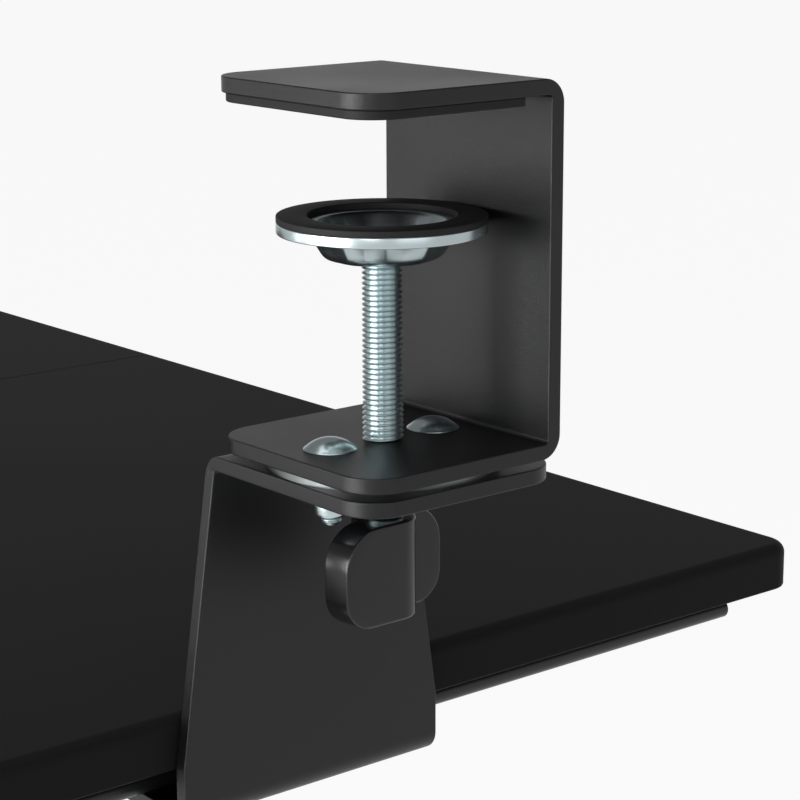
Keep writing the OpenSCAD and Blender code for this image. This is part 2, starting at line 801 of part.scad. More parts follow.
on_left() rail_nuts();  // rail_nuts_left
on_right() rail_nuts();  // rail_nuts_right
on_left() rail_stop();  // rail_stop_left
on_right() rail_stop();  // rail_stop_right
on_left() slide_channel();  // slide_channel_left
on_right() slide_channel();  // slide_channel_right
on_left() channel_screws();  // channel_screws_left
on_right() channel_screws();  // channel_screws_right
on_left() channel_stops();  // channel_stops_left
on_right() channel_stops();  // channel_stops_right
on_left() ball_cage();  // ball_cage_left
on_right() ball_cage();  // ball_cage_right
on_left() slide_balls();  // slide_balls_left
on_right() slide_balls();  // slide_balls_right
tray_panel_left();
tray_panel_right();
tray_dowels();
joining_plates();
joining_screws();
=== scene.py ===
# Clamp-on keyboard tray that slides out on ball-bearing rails under a desk
import math
import bmesh
import bpy
import numpy as np
from mathutils import Matrix, Vector


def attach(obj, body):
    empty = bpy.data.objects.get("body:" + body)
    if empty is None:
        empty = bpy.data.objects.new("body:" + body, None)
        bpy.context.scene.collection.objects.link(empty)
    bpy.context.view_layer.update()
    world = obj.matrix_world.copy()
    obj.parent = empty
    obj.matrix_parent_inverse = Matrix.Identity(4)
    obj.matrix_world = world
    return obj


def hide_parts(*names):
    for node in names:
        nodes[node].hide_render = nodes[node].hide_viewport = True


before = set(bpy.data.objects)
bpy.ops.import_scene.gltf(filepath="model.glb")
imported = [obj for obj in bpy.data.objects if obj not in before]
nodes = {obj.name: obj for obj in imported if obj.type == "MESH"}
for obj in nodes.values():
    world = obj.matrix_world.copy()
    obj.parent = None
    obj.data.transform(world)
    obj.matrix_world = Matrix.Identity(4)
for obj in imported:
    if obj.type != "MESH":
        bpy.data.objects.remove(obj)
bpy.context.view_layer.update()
mm = 0.001
sides = ("left", "right")
screwX = 386.2  # from the middle to each clamp screw
print("frame loaded,", len(nodes), "nodes")


# Small tools

def toLinear(hexColour):
    # sRGB hex to linear: c / 12.92 up to 0.04045, above it ((c + 0.055) / 1.055) ^ 2.4
    c = np.array([int(hexColour[i:i + 2], 16) for i in (1, 3, 5)]) / 255
    low = c / 12.92
    high = ((c + 0.055) / 1.055) ** 2.4
    return (*np.where(c <= 0.04045, low, high).tolist(), 1.0)


def perMetre(size):
    # a pattern's scale from its real size in mm
    return 1 / (size * mm)


def addNode(tree, kind, settings=None, values=None, links=None):
    # one node with its properties, socket values and incoming links
    node = tree.nodes.new(kind)
    for key, value in (settings or {}).items():
        setattr(node, key, value)
    for key, value in (values or {}).items():
        node.inputs[key].default_value = value
    for key, source in (links or {}).items():
        tree.links.new(source, node.inputs[key])
    return node


def newMaterial(name):
    material = bpy.data.materials.new(name)
    material.use_nodes = True
    material.node_tree.nodes.clear()
    return material, material.node_tree


def finishMaterial(tree, shader):
    out = tree.nodes.new("ShaderNodeOutputMaterial")
    tree.links.new(shader.outputs[0], out.inputs["Surface"])


def makePiece(node, points, faces, material, body, sharpDeg=32):
    # Points in mm become a mesh in metres that stands for a CAD node. Its place is in the mesh, and its
    # object stays at the origin.
    name = f"{node}_shaped"
    mesh = bpy.data.meshes.new(name)
    mesh.from_pydata((np.asarray(points, float) * mm).tolist(), [], faces)
    mesh.update()
    bm = bmesh.new()
    bm.from_mesh(mesh)
    bmesh.ops.remove_doubles(bm, verts=bm.verts, dist=1e-7)
    bmesh.ops.recalc_face_normals(bm, faces=bm.faces)
    bm.to_mesh(mesh)
    bm.free()
    mesh.polygons.foreach_set("use_smooth", np.ones(len(mesh.polygons), bool))
    mesh.set_sharp_from_angle(angle=math.radians(sharpDeg))
    mesh.materials.append(material)
    piece = bpy.data.objects.new(name, mesh)
    bpy.context.scene.collection.objects.link(piece)
    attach(piece, body)
    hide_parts(node)


def gridFaces(rows, cols, wrap=True):
    # quads between the points of a grid, counted row by row; wrap joins the end of each row to its start
    i = np.arange(rows - 1)[:, None] * cols
    j = np.arange(cols if wrap else cols - 1)
    k = (j + 1) % cols
    return np.stack([i + j, i + k, i + cols + k, i + cols + j], -1).reshape(-1, 4).tolist()


def arcPoints(x, y, radius, fromDeg, toDeg, steps):
    # (x + r cos a, y + r sin a); columns of x, y or radius give one arc in each row
    a = np.radians(np.linspace(fromDeg, toDeg, steps + 1))
    return np.stack([x + radius * np.cos(a), y + radius * np.sin(a)], -1)


def cornerInset(depth, radius):
    # how far a round corner draws its side in, at a depth below its end: r - sqrt(r^2 - (r - d)^2)
    rest = np.clip(radius - depth, 0, radius)
    return radius - np.sqrt(radius ** 2 - rest ** 2)


def roundCorners(corners, radii, steps=5):
    # A polyline whose inner corners become arcs. An arc touches both sides at r / tan(half the angle between
    # them), and its centre lies r / sin(half the angle) from the corner.
    pts = [np.array(c, float) for c in corners]
    out = [pts[0]]
    for before, here, after, r in zip(pts, pts[1:], pts[2:], radii[1:]):
        if r <= 0:
            out.append(here)
            continue
        u = (before - here) / np.linalg.norm(before - here)
        v = (after - here) / np.linalg.norm(after - here)
        half = math.acos(np.clip(np.dot(u, v), -1, 1)) / 2
        centre = here + (u + v) / np.linalg.norm(u + v) * r / math.sin(half)
        a = here + u * r / math.tan(half) - centre
        b = here + v * r / math.tan(half) - centre
        turn = math.atan2(a[0] * b[1] - a[1] * b[0], float(np.dot(a, b)))
        t = np.linspace(0, turn, steps + 1)[:, None]
        out += list(centre + a * np.cos(t) + np.array([-a[1], a[0]]) * np.sin(t))
    out.append(pts[-1])
    return np.array(out)


def steppedEdge(r, z, steps):
    # the (r, z) points of a small rounding from its steps, so that it follows the size it sits on
    return [(r + out, z + up) for out, up in steps]


def revolved(profile, around, wave=None):
    # A closed (r, z) profile carried round Z: (r cos a, r sin a, z). wave(a, r, z) is added to the radius.
    loop = np.vstack([profile, profile[:1]])
    angle = np.linspace(0, 2 * math.pi, around, endpoint=False)
    r = loop[:, :1] + np.zeros(around)
    z = loop[:, 1:] + np.zeros(around)
    if wave:
        r = r + wave(angle, r, z)
    points = np.stack([r * np.cos(angle), r * np.sin(angle), z], -1)
    return points.reshape(-1, 3), gridFaces(len(loop), around)


def stackedOutlines(outlines, levels):
    # one closed outline at each level, joined to the next; the first and the last are filled in
    rows, cols = outlines.shape[:2]
    height = levels[:, None, None] + np.zeros((rows, cols, 1))
    caps = [list(range(cols)), list(range((rows - 1) * cols, rows * cols))]
    return np.concatenate([outlines, height], -1).reshape(-1, 3), gridFaces(rows, cols) + caps


# Sheet metal: a flat outline with a rounded rim, laid along a bent path

# how finely bends, corners and edges are drawn, the flats kept beside them, and the least space between lines
sheet = {"bendSteps": 12, "bendMargin": 0.4, "cornerSteps": 12, "edgeSteps": 5, "shoulder": 0.25,
         "sliver": 0.05, "mitreLimit": 0.3}


def roundedEdge(half, radius, steps):
    # Inset and height down a plate's rim. Each edge is a quarter circle, r (1 - sin a) in and r (1 - cos a)
    # down, with a narrow flat shoulder on either side, so that the shading turns on the edge alone.
    shoulder = sheet["shoulder"]
    a = np.linspace(0, math.pi / 2, steps + 1)
    inset = np.concatenate([[radius + shoulder], radius * (1 - np.sin(a))])
    height = np.concatenate([[half], half - radius * (1 - np.cos(a))])
    if half - radius > shoulder:
        inset = np.append(inset, 0.0)
        height = np.append(height, half - radius - shoulder)
    return np.concatenate([inset, inset[::-1]]), np.concatenate([height, -height[::-1]])


def bentTable(flats, ends, arcs, bendR):
    # Rows (s, outer x, outer z, inner x, inner z) along a sheet with two bends. s grows by a flat's length,
    # and by the outer radius over a bend. The stations, where the mesh has lines, are on and just beside the
    # bends.
    rows = [[0, *ends[0]]]
    stations = []
    s = flats[0]
    for flat, (outer, inner) in zip(flats[1:], arcs):
        along = s + np.linspace(0, bendR, sheet["bendSteps"] + 1)
        rows += np.column_stack([along, outer, inner]).tolist()
        stations += [s - sheet["bendMargin"], *along, s + bendR + sheet["bendMargin"]]
        s += bendR + flat
    rows.append([s, *ends[1]])
    return np.array(rows), stations


def sheetOutline(table, sideWalls, stations, startR, endR):
    # The sheet laid flat: (s, w) points along its low side and back along its high side, with the corners of
    # both ends round, and for each point the way in. sideWalls(s) gives the two sides.
    first, last = table[0, 0], table[-1, 0]
    arc = np.linspace(0, math.pi / 2, sheet["cornerSteps"] + 1)
    startS = first + startR * (1 - np.cos(arc if startR else arc[:1]))
    endS = last - endR * (1 - np.cos(arc[::-1] if endR else arc[:1]))
    stations = np.array(stations, float)
    between = (stations > startS[-1] + sheet["sliver"]) & (stations < endS[0] - sheet["sliver"])
    s = np.concatenate([startS, stations[between], endS])
    pull = cornerInset(s - first, startR) + cornerInset(last - s, endR)
    low, high = sideWalls(s)
    lowSide = np.stack([s, low + pull], -1)
    highSide = np.stack([s, high - pull], -1)
    outline = np.concatenate([lowSide, highSide[::-1]])
    step = np.roll(outline, -1, 0) - outline
    step /= np.maximum(np.linalg.norm(step, axis=1), 1e-9)[:, None]
    left = np.stack([-step[:, 1], step[:, 0]], -1)
    # left is inward here; a square corner moves in along both of its sides, so its mitre is longer
    inward = left + np.roll(left, 1, 0)
    inward /= np.maximum(np.sum(inward * left, 1), sheet["mitreLimit"])[:, None]
    return outline, inward


def bentSheet(table, sideWalls, stations, thickness, edge, steps=sheet["edgeSteps"], startR=0.0, endR=0.0):
    # The outline is drawn in row by row down the rim. A point at s along the bend lies between the inner and
    # the outer curve, inner + (outer - inner) (height / thickness + 1/2), and its w stays as it is.
    outline, inward = sheetOutline(table, sideWalls, stations, startR, endR)
    inset, height = roundedEdge(thickness / 2, edge, steps)
    flat = outline + inward * inset[:, None, None]
    s = flat[..., 0]
    outer = np.stack([np.interp(s, table[:, 0], table[:, k]) for k in (1, 2)], -1)
    inner = np.stack([np.interp(s, table[:, 0], table[:, k]) for k in (3, 4)], -1)
    place = inner + (outer - inner) * (height / thickness + 0.5)[:, None, None]
    points = np.stack([place[..., 0], flat[..., 1], place[..., 1]], -1)
    # both faces are ladders of quads between the long sides
    rows, cols = s.shape
    i = np.arange(cols // 2 - 1)
    ladder = np.stack([i, i + 1, cols - 2 - i, cols - 1 - i], -1)
    faces = gridFaces(rows, cols) + ladder.tolist() + (ladder + (rows - 1) * cols).tolist()
    return points.reshape(-1, 3), faces


# Materials: colours are sRGB hex, and pattern sizes and reliefs are in mm

# Polyester powder coat, baked: deep black with a fine grain that shows where a bend turns to the light
powderCoat = {"colour": "#070708", "fleck": "#141415", "grain": 0.21, "patch": 33.3,
              "roughness": (0.24, 0.38), "bump": 0.22, "relief": 0.4, "specular": 0.41}
coatMaterial, tree = newMaterial("black powder coat")
place = addNode(tree, "ShaderNodeTexCoord")
grain = addNode(tree, "ShaderNodeTexNoise",
                values={"Scale": perMetre(powderCoat["grain"]), "Detail": 2.0, "Roughness": 0.6},
                links={"Vector": place.outputs["Object"]})
patch = addNode(tree, "ShaderNodeTexNoise", values={"Scale": perMetre(powderCoat["patch"]), "Detail": 2.0},
                links={"Vector": place.outputs["Object"]})
tone = addNode(tree, "ShaderNodeMix", {"data_type": "RGBA"},
               {"A": toLinear(powderCoat["colour"]), "B": toLinear(powderCoat["fleck"])},
               {"Factor": grain.outputs["Fac"]})
rough = addNode(tree, "ShaderNodeMapRange",
                values={"To Min": powderCoat["roughness"][0], "To Max": powderCoat["roughness"][1]},
                links={"Value": patch.outputs["Fac"]})
bump = addNode(tree, "ShaderNodeBump",
               values={"Strength": powderCoat["bump"], "Distance": powderCoat["relief"] * mm},
               links={"Height": grain.outputs["Fac"]})
shader = addNode(tree, "ShaderNodeBsdfPrincipled",
                 values={"IOR": 1.5, "Specular IOR Level": powderCoat["specular"]},
                 links={"Base Color": tone.outputs["Result"], "Roughness": rough.outputs[0],
                        "Normal": bump.outputs[0]})
finishMaterial(tree, shader)

# Nitrile rubber, moulded: dead matt black that hardly reflects
rubber = {"colour": "#0a0a0b", "dust": "#121213", "grain": 1.11, "roughness": 0.62, "bump": 0.08,
          "relief": 0.3, "specular": 0.35}
rubberMaterial, tree = newMaterial("black nitrile rubber")
place = addNode(tree, "ShaderNodeTexCoord")
grain = addNode(tree, "ShaderNodeTexNoise", values={"Scale": perMetre(rubber["grain"]), "Detail": 3.0},
                links={"Vector": place.outputs["Object"]})
tone = addNode(tree, "ShaderNodeMix", {"data_type": "RGBA"},
               {"A": toLinear(rubber["colour"]), "B": toLinear(rubber["dust"])},
               {"Factor": grain.outputs["Fac"]})
bump = addNode(tree, "ShaderNodeBump", values={"Strength": rubber["bump"], "Distance": rubber["relief"] * mm},
               links={"Height": grain.outputs["Fac"]})
shader = addNode(tree, "ShaderNodeBsdfPrincipled",
                 values={"Roughness": rubber["roughness"], "Specular IOR Level": rubber["specular"]},
                 links={"Base Color": tone.outputs["Result"], "Normal": bump.outputs[0]})
finishMaterial(tree, shader)

# Steel plated with blue-passivated zinc: pale cold metal with soft cloudy patches
zinc = {"colour": "#cfdbdd", "cloud": "#bfced1", "patch": 11.1, "roughness": (0.23, 0.28), "bump": 0.01,
        "relief": 0.2}
zincMaterial, tree = newMaterial("blue zinc plate")
place = addNode(tree, "ShaderNodeTexCoord")
patch = addNode(tree, "ShaderNodeTexNoise", values={"Scale": perMetre(zinc["patch"]), "Detail": 2.0},
                links={"Vector": place.outputs["Object"]})
tone = addNode(tree, "ShaderNodeMix", {"data_type": "RGBA"},
               {"A": toLinear(zinc["colour"]), "B": toLinear(zinc["cloud"])},
               {"Factor": patch.outputs["Fac"]})
rough = addNode(tree, "ShaderNodeMapRange",
                values={"To Min": zinc["roughness"][0], "To Max": zinc["roughness"][1]},
                links={"Value": patch.outputs["Fac"]})
bump = addNode(tree, "ShaderNodeBump", values={"Strength": zinc["bump"], "Distance": zinc["relief"] * mm},
               links={"Height": patch.outputs["Fac"]})
shader = addNode(tree, "ShaderNodeBsdfPrincipled", values={"Metallic": 1.0},
                 links={"Base Color": tone.outputs["Result"], "Roughness": rough.outputs[0],
                        "Normal": bump.outputs[0]})
finishMaterial(tree, shader)

# Zinc plate on the spacer disc between clamp and bracket: rougher, and painted a darker grey as painted shade
# for its narrow gap
discShadeZinc = {"colour": "#868a8a", "cloud": "#6c7070", "patch": 4.55, "roughness": 0.36}
discMaterial, tree = newMaterial("zinc plate with painted shade")
place = addNode(tree, "ShaderNodeTexCoord")
patch = addNode(tree, "ShaderNodeTexNoise", values={"Scale": perMetre(discShadeZinc["patch"]), "Detail": 3.0},
                links={"Vector": place.outputs["Object"]})
# both greys are darkened as painted shade of the gap between clamp and bracket
tone = addNode(tree, "ShaderNodeMix", {"data_type": "RGBA"},
               {"A": toLinear(discShadeZinc["colour"]), "B": toLinear(discShadeZinc["cloud"])},
               {"Factor": patch.outputs["Fac"]})
shader = addNode(tree, "ShaderNodeBsdfPrincipled",
                 values={"Metallic": 1.0, "Roughness": discShadeZinc["roughness"]},
                 links={"Base Color": tone.outputs["Result"]})
finishMaterial(tree, shader)

# Satin enamel on the cast wing knob: smoother than the powder coat, so its rims hold a line of light
knobEnamel = {"colour": "#0e0e0f", "cloud": "#161617", "patch": 2.5, "roughness": 0.22, "bump": 0.04,
              "relief": 0.4}
knobMaterial, tree = newMaterial("satin black enamel")
place = addNode(tree, "ShaderNodeTexCoord")
patch = addNode(tree, "ShaderNodeTexNoise", values={"Scale": perMetre(knobEnamel["patch"]), "Detail": 3.0},
                links={"Vector": place.outputs["Object"]})
tone = addNode(tree, "ShaderNodeMix", {"data_type": "RGBA"},
               {"A": toLinear(knobEnamel["colour"]), "B": toLinear(knobEnamel["cloud"])},
               {"Factor": patch.outputs["Fac"]})
bump = addNode(tree, "ShaderNodeBump",
               values={"Strength": knobEnamel["bump"], "Distance": knobEnamel["relief"] * mm},
               links={"Height": patch.outputs["Fac"]})
shader = addNode(tree, "ShaderNodeBsdfPrincipled", values={"Roughness": knobEnamel["roughness"]},
                 links={"Base Color": tone.outputs["Result"], "Normal": bump.outputs[0]})
finishMaterial(tree, shader)

# Matt black film pressed on fibreboard: nearly no gloss, with a faint pressed grain
boardFilm = {"colour": "#19191a", "cloud": "#1f1f20", "patch": 111, "grain": 0.7, "roughness": 0.5,
             "bump": 0.04, "relief": 0.3, "specular": 0.055}
boardMaterial, tree = newMaterial("matt black board film")
place = addNode(tree, "ShaderNodeTexCoord")
grain = addNode(tree, "ShaderNodeTexNoise", values={"Scale": perMetre(boardFilm["grain"]), "Detail": 2.0},
                links={"Vector": place.outputs["Object"]})
patch = addNode(tree, "ShaderNodeTexNoise", values={"Scale": perMetre(boardFilm["patch"]), "Detail": 2.0},
                links={"Vector": place.outputs["Object"]})
tone = addNode(tree, "ShaderNodeMix", {"data_type": "RGBA"},
               {"A": toLinear(boardFilm["colour"]), "B": toLinear(boardFilm["cloud"])},
               {"Factor": patch.outputs["Fac"]})
bump = addNode(tree, "ShaderNodeBump",
               values={"Strength": boardFilm["bump"], "Distance": boardFilm["relief"] * mm},
               links={"Height": grain.outputs["Fac"]})
shader = addNode(tree, "ShaderNodeBsdfPrincipled",
                 values={"Roughness": boardFilm["roughness"], "Specular IOR Level": boardFilm["specular"]},
                 links={"Base Color": tone.outputs["Result"], "Normal": bump.outputs[0]})
finishMaterial(tree, shader)

# Cold-rolled zinc-plated strip: grey steel with fine lines along the rolling direction, drawn wider than
# real ones so that they show
rolledSteel = {"colour": "#8e9296", "line": "#6f7377", "lineWidth": 0.25, "stretch": (1, 0.02, 1),
               "roughness": (0.27, 0.42)}
slideMaterial, tree = newMaterial("rolled slide steel")
coords = addNode(tree, "ShaderNodeTexCoord")
place = addNode(tree, "ShaderNodeMapping", values={"Scale": rolledSteel["stretch"]},
                links={"Vector": coords.outputs["Object"]})
lines = addNode(tree, "ShaderNodeTexNoise",
                values={"Scale": perMetre(rolledSteel["lineWidth"]), "Detail": 3.0},
                links={"Vector": place.outputs[0]})
tone = addNode(tree, "ShaderNodeMix", {"data_type": "RGBA"},
               {"A": toLinear(rolledSteel["colour"]), "B": toLinear(rolledSteel["line"])},
               {"Factor": lines.outputs["Fac"]})
rough = addNode(tree, "ShaderNodeMapRange",
                values={"To Min": rolledSteel["roughness"][0], "To Max": rolledSteel["roughness"][1]},
                links={"Value": lines.outputs["Fac"]})
shader = addNode(tree, "ShaderNodeBsdfPrincipled", values={"Metallic": 1.0},
                 links={"Base Color": tone.outputs["Result"], "Roughness": rough.outputs[0]})
finishMaterial(tree, shader)

# Thin black coat on the slide's outer channel: smooth and half glossy, so it goes from dark to light round
# the fold
darkCoat = {"colour": "#151617", "line": "#1e1f20", "lineWidth": 0.4, "stretch": (1, 0.02, 1),
            "roughness": 0.30}
channelMaterial, tree = newMaterial("black slide coat")
coords = addNode(tree, "ShaderNodeTexCoord")
place = addNode(tree, "ShaderNodeMapping", values={"Scale": darkCoat["stretch"]},
                links={"Vector": coords.outputs["Object"]})
lines = addNode(tree, "ShaderNodeTexNoise", values={"Scale": perMetre(darkCoat["lineWidth"]), "Detail": 2.0},
                links={"Vector": place.outputs[0]})
tone = addNode(tree, "ShaderNodeMix", {"data_type": "RGBA"},
               {"A": toLinear(darkCoat["colour"]), "B": toLinear(darkCoat["line"])},
               {"Factor": lines.outputs["Fac"]})
shader = addNode(tree, "ShaderNodeBsdfPrincipled", values={"Roughness": darkCoat["roughness"]},
                 links={"Base Color": tone.outputs["Result"]})
finishMaterial(tree, shader)

# Chrome-steel bearing balls: polished, with the faintest haze
bearing = {"colour": "#d5d7da", "haze": "#c2c6ca", "patch": 1.43, "roughness": 0.08}
ballMaterial, tree = newMaterial("bearing steel")
place = addNode(tree, "ShaderNodeTexCoord")
haze = addNode(tree, "ShaderNodeTexNoise", values={"Scale": perMetre(bearing["patch"])},
               links={"Vector": place.outputs["Object"]})
tone = addNode(tree, "ShaderNodeMix", {"data_type": "RGBA"},
               {"A": toLinear(bearing["colour"]), "B": toLinear(bearing["haze"])},
               {"Factor": haze.outputs["Fac"]})
shader = addNode(tree, "ShaderNodeBsdfPrincipled",
                 values={"Metallic": 1.0, "Roughness": bearing["roughness"]},
                 links={"Base Color": tone.outputs["Result"]})
finishMaterial(tree, shader)

# Moulded polyamide buffers: black with a spark-eroded skin, drawn coarser than a real one so that it shows
polyamide = {"colour": "#111112", "skin": "#1c1c1d", "grain": 0.4, "roughness": 0.5, "bump": 0.1,
             "relief": 0.2}
stopMaterial, tree = newMaterial("black polyamide")
place = addNode(tree, "ShaderNodeTexCoord")
skin = addNode(tree, "ShaderNodeTexNoise", values={"Scale": perMetre(polyamide["grain"]), "Detail": 1.0},
               links={"Vector": place.outputs["Object"]})
tone = addNode(tree, "ShaderNodeMix", {"data_type": "RGBA"},
               {"A": toLinear(polyamide["colour"]), "B": toLinear(polyamide["skin"])},
               {"Factor": skin.outputs["Fac"]})
bump = addNode(tree, "ShaderNodeBump",
               values={"Strength": polyamide["bump"], "Distance": polyamide["relief"] * mm},
               links={"Height": skin.outputs["Fac"]})
shader = addNode(tree, "ShaderNodeBsdfPrincipled", values={"Roughness": polyamide["roughness"]},
                 links={"Base Color": tone.outputs["Result"], "Normal": bump.outputs[0]})
finishMaterial(tree, shader)

# Turned beech dowels: pale wood with short dark flecks along the grain
beech = {"colour": "#c9a878", "fleck": "#a5804f", "fleckLong": 16.7, "fleckWide": 1.11, "roughness": 0.6}
dowelMaterial, tree = newMaterial("turned beech")
coords = addNode(tree, "ShaderNodeTexCoord")
along, across = perMetre(beech["fleckLong"]), perMetre(beech["fleckWide"])
place = addNode(tree, "ShaderNodeMapping", values={"Scale": (along, across, across)},
                links={"Vector": coords.outputs["Object"]})
fleck = addNode(tree, "ShaderNodeTexNoise", values={"Scale": 1.0, "Detail": 3.0},
                links={"Vector": place.outputs[0]})
tone = addNode(tree, "ShaderNodeMix", {"data_type": "RGBA"},
               {"A": toLinear(beech["colour"]), "B": toLinear(beech["fleck"])},
               {"Factor": fleck.outputs["Fac"]})
shader = addNode(tree, "ShaderNodeBsdfPrincipled", values={"Roughness": beech["roughness"]},
                 links={"Base Color": tone.outputs["Result"]})
finishMaterial(tree, shader)

# every CAD node that isn't listed is a zinc-plated screw, bolt, nut or foot
finishOfNode = {
    "clamp_strap": coatMaterial, "support_bracket": coatMaterial, "joining_plates": coatMaterial,
    "clamp_pad": rubberMaterial, "foot_ring": rubberMaterial, "wing_knob": knobMaterial,
    "tray_panel": boardMaterial, "tray_dowels": dowelMaterial, "slide_rail": slideMaterial,
    "slide_channel": channelMaterial, "ball_cage": slideMaterial, "slide_balls": ballMaterial,
    "rail_stop": stopMaterial, "channel_stops": stopMaterial, "spacer_disc": discMaterial}
for name, node in nodes.items():
    material = next((m for key, m in finishOfNode.items() if name.startswith(key)), zincMaterial)
    for slot in node.material_slots:
        slot.material = material
print("materials made")


# Clamp strap

strap = {"width": 60.0, "thickness": 3.8, "nose": 28.5, "back": -29.6, "top": 6.0, "low": -83.6,
         "cornerR": 9.8, "bendOut": 5.8, "bendIn": 0.9, "edge": 0.3}


def strapPoints():
    # a flat bar bent into a C: upper arm, wall and lower arm, with its outer face first in each row
    t, outR, inR = strap["thickness"], strap["bendOut"], strap["bendIn"]
    back, top, low, nose = strap["back"], strap["top"], strap["low"], strap["nose"]
    steps = sheet["bendSteps"]
    wallIn = back + t
    arcs = [(arcPoints(back + outR, top - outR, outR, 90, 180, steps),
             arcPoints(wallIn + inR, top - t - inR, inR, 90, 180, steps)),
            (arcPoints(back + outR, low + outR, outR, 180, 270, steps),
             arcPoints(wallIn + inR, low + t + inR, inR, 180, 270, steps))]
    arm = nose - back - outR
    flats = (arm, top - low - 2 * outR, arm)
    ends = [(nose, top, nose, top - t), (nose, low, nose, low + t)]
    table, stations = bentTable(flats, ends, arcs, outR)
    half = strap["width"] / 2
    points, faces = bentSheet(table, lambda s: (-half, half), stations, t, strap["edge"],
                              startR=strap["cornerR"], endR=strap["cornerR"])
    return points[:, [1, 0, 2]], faces  # the width lies along X


# Rubber pad

pad = {"half": 29.0, "nose": 27.5, "rear": -18.3, "thickness": 2.2, "cornerR": 8.8, "edge": 0.35,
       "edgeSteps": 4}


def padPoints():
    # a flat sheet under the strap's upper arm, round at its nose and square at its rear
    t, nose, rear = pad["thickness"], pad["nose"], pad["rear"]
    table = np.array([(0, nose, t, nose, 0), (nose - rear, rear, t, rear, 0)])
    points, faces = bentSheet(table, lambda s: (-pad["half"], pad["half"]), [], t, pad["edge"],
                              steps=pad["edgeSteps"], startR=pad["cornerR"])
    return points[:, [1, 0, 2]], faces


# Support bracket

bracket = {"thickness": 3.8, "plateOut": -29.7, "legOut": 29.4, "plateTop": -85.4, "flangeLow": -179.6,
           "flangeEnd": 68.0, "userEdge": -31.0, "deskEdge": 28.6, "flare": 10.8, "flareLow": -163.6,
           "flareEase": 0.6, "cornerR": 9.8, "bendOut": 5.8, "bendIn": 0.9, "edge": 0.3}


def bracketPoints():
    # Plate, leg and flange bent in a Z, with the upper face first in each row. Down the leg its sides lean
    # out, flare (plateUnder - z) / (plateUnder - flareLow), and from there they run straight on.
    t, outR, inR = bracket["thickness"], bracket["bendOut"], bracket["bendIn"]
    plateOut, plateTop, plateUnder = bracket["plateOut"], bracket["plateTop"], bracket["plateTop"] - t
    flangeEnd, flangeLow, flangeTop = bracket["flangeEnd"], bracket["flangeLow"], bracket["flangeLow"] + t
    legOut, legIn = bracket["legOut"], bracket["legOut"] + t
    steps = sheet["bendSteps"]
    arcs = [(arcPoints(legIn - outR, plateTop - outR, outR, 90, 0, steps),
             arcPoints(legOut - inR, plateUnder - inR, inR, 90, 0, steps)),
            (arcPoints(legIn + inR, flangeTop + inR, inR, 180, 270, steps),
             arcPoints(legOut + outR, flangeLow + outR, outR, 180, 270, steps))]
    flats = (legIn - outR - plateOut, plateTop - flangeLow - 2 * outR, flangeEnd - legOut - outR)
    ends = [(plateOut, plateTop, plateOut, plateUnder), (flangeEnd, flangeTop, flangeEnd, flangeLow)]
    table, stations = bentTable(flats, ends, arcs, outR)
    level = (table[:, 2] + table[:, 4]) / 2
    leg = slice(steps + 1, steps + 3)  # the rows at the two ends of the leg's flat
    straightS = np.interp(-bracket["flareLow"], -level[leg], table[leg, 0])
    ease = bracket["flareEase"]
    stations = np.sort([*stations, straightS - ease, straightS, straightS + ease])

    def sideWalls(s):
        drop = plateUnder - np.interp(s, table[:, 0], level)
        lean = bracket["flare"] * np.clip(drop / (plateUnder - bracket["flareLow"]), 0, 1)
        return bracket["userEdge"] - lean, bracket["deskEdge"] + lean

    return bentSheet(table, sideWalls, stations, t, bracket["edge"], startR=bracket["cornerR"],
                     endR=bracket["cornerR"])


# Pressure foot and its rubber ring

# roundings are the corner radii in the order of the profile; a flute's depth is flute, and crest lets the
# wall stand out between flutes, which fade in from a share of floorR and fade out a little past dishR
foot = {"flangeR": 24.8, "flangeTop": -27.6, "sheet": 2.6, "dishR": 17.6, "floorR": 13.7, "depth": 6.3,
        "boreR": 3.3, "wallShare": 0.7, "roundings": (0, 4.2, 0.6, 0.3, 0.3, 1.8, 3.0, 0.2, 0),
        "flutes": 10, "flute": 0.7, "crest": 1.25, "fluteFrom": 0.62, "fadeIn": 3.0, "fadeOut": 2.5,
        "pastDish": 2.0, "spacing": 0.9, "around": 200}


def footPoints():
    # a dish pressed from sheet and revolved about the screw, with a wide flange and flutes round its wall
    top = foot["flangeTop"]
    under = top - foot["sheet"]
    low = under - foot["depth"]
    wall = foot["sheet"] * foot["wallShare"]
    bore, floorR, dishR, flangeR = foot["boreR"], foot["floorR"], foot["dishR"], foot["flangeR"]
    corners = [(bore, low), (floorR, low), (dishR, under), (flangeR, under), (flangeR, top),
               (dishR - wall, top), (floorR - wall, low + wall), (bore, low + wall), (bore, low)]
    rough = roundCorners(corners, foot["roundings"], steps=6)
    profile = []
    for a, b in zip(rough, rough[1:]):  # long stretches get more points, for the flutes to bend
        count = max(1, int(np.linalg.norm(b - a) / foot["spacing"]))
        profile += list(np.linspace(a, b, count, endpoint=False))

    def pleat(angle, r, z):
        # The wall goes in by flute sin(pi (0.12 + 0.9 rise)) (1 - crest fold). The rise is 0 at the floor and
        # 1 at the flange's top, and the fold is 0 in the middle of a flute and 1 between two. The flutes fade
        # out towards the dish's middle and on the flange.
        rise = np.clip((z - low) / (foot["depth"] + foot["sheet"]), 0, 1)
        inner = np.clip((r - floorR * foot["fluteFrom"]) / foot["fadeIn"], 0, 1)
        outer = np.clip((dishR + foot["pastDish"] - r) / foot["fadeOut"], 0, 1)
        fold = np.abs(((angle * foot["flutes"] / (2 * math.pi)) % 1) * 2 - 1)
        push = np.sin(math.pi * np.clip(0.12 + 0.9 * rise, 0, 1))
        return -foot["flute"] * inner * outer * push * (1 - fold * foot["crest"])

    return revolved(np.array(profile), foot["around"], pleat)


ring = {"outR": 24.8, "inR": 17.6, "top": -26.0, "thickness": 1.6, "edge": 0.3, "lowEdge": 0.18,
        "startIn": 3.0, "around": 128}


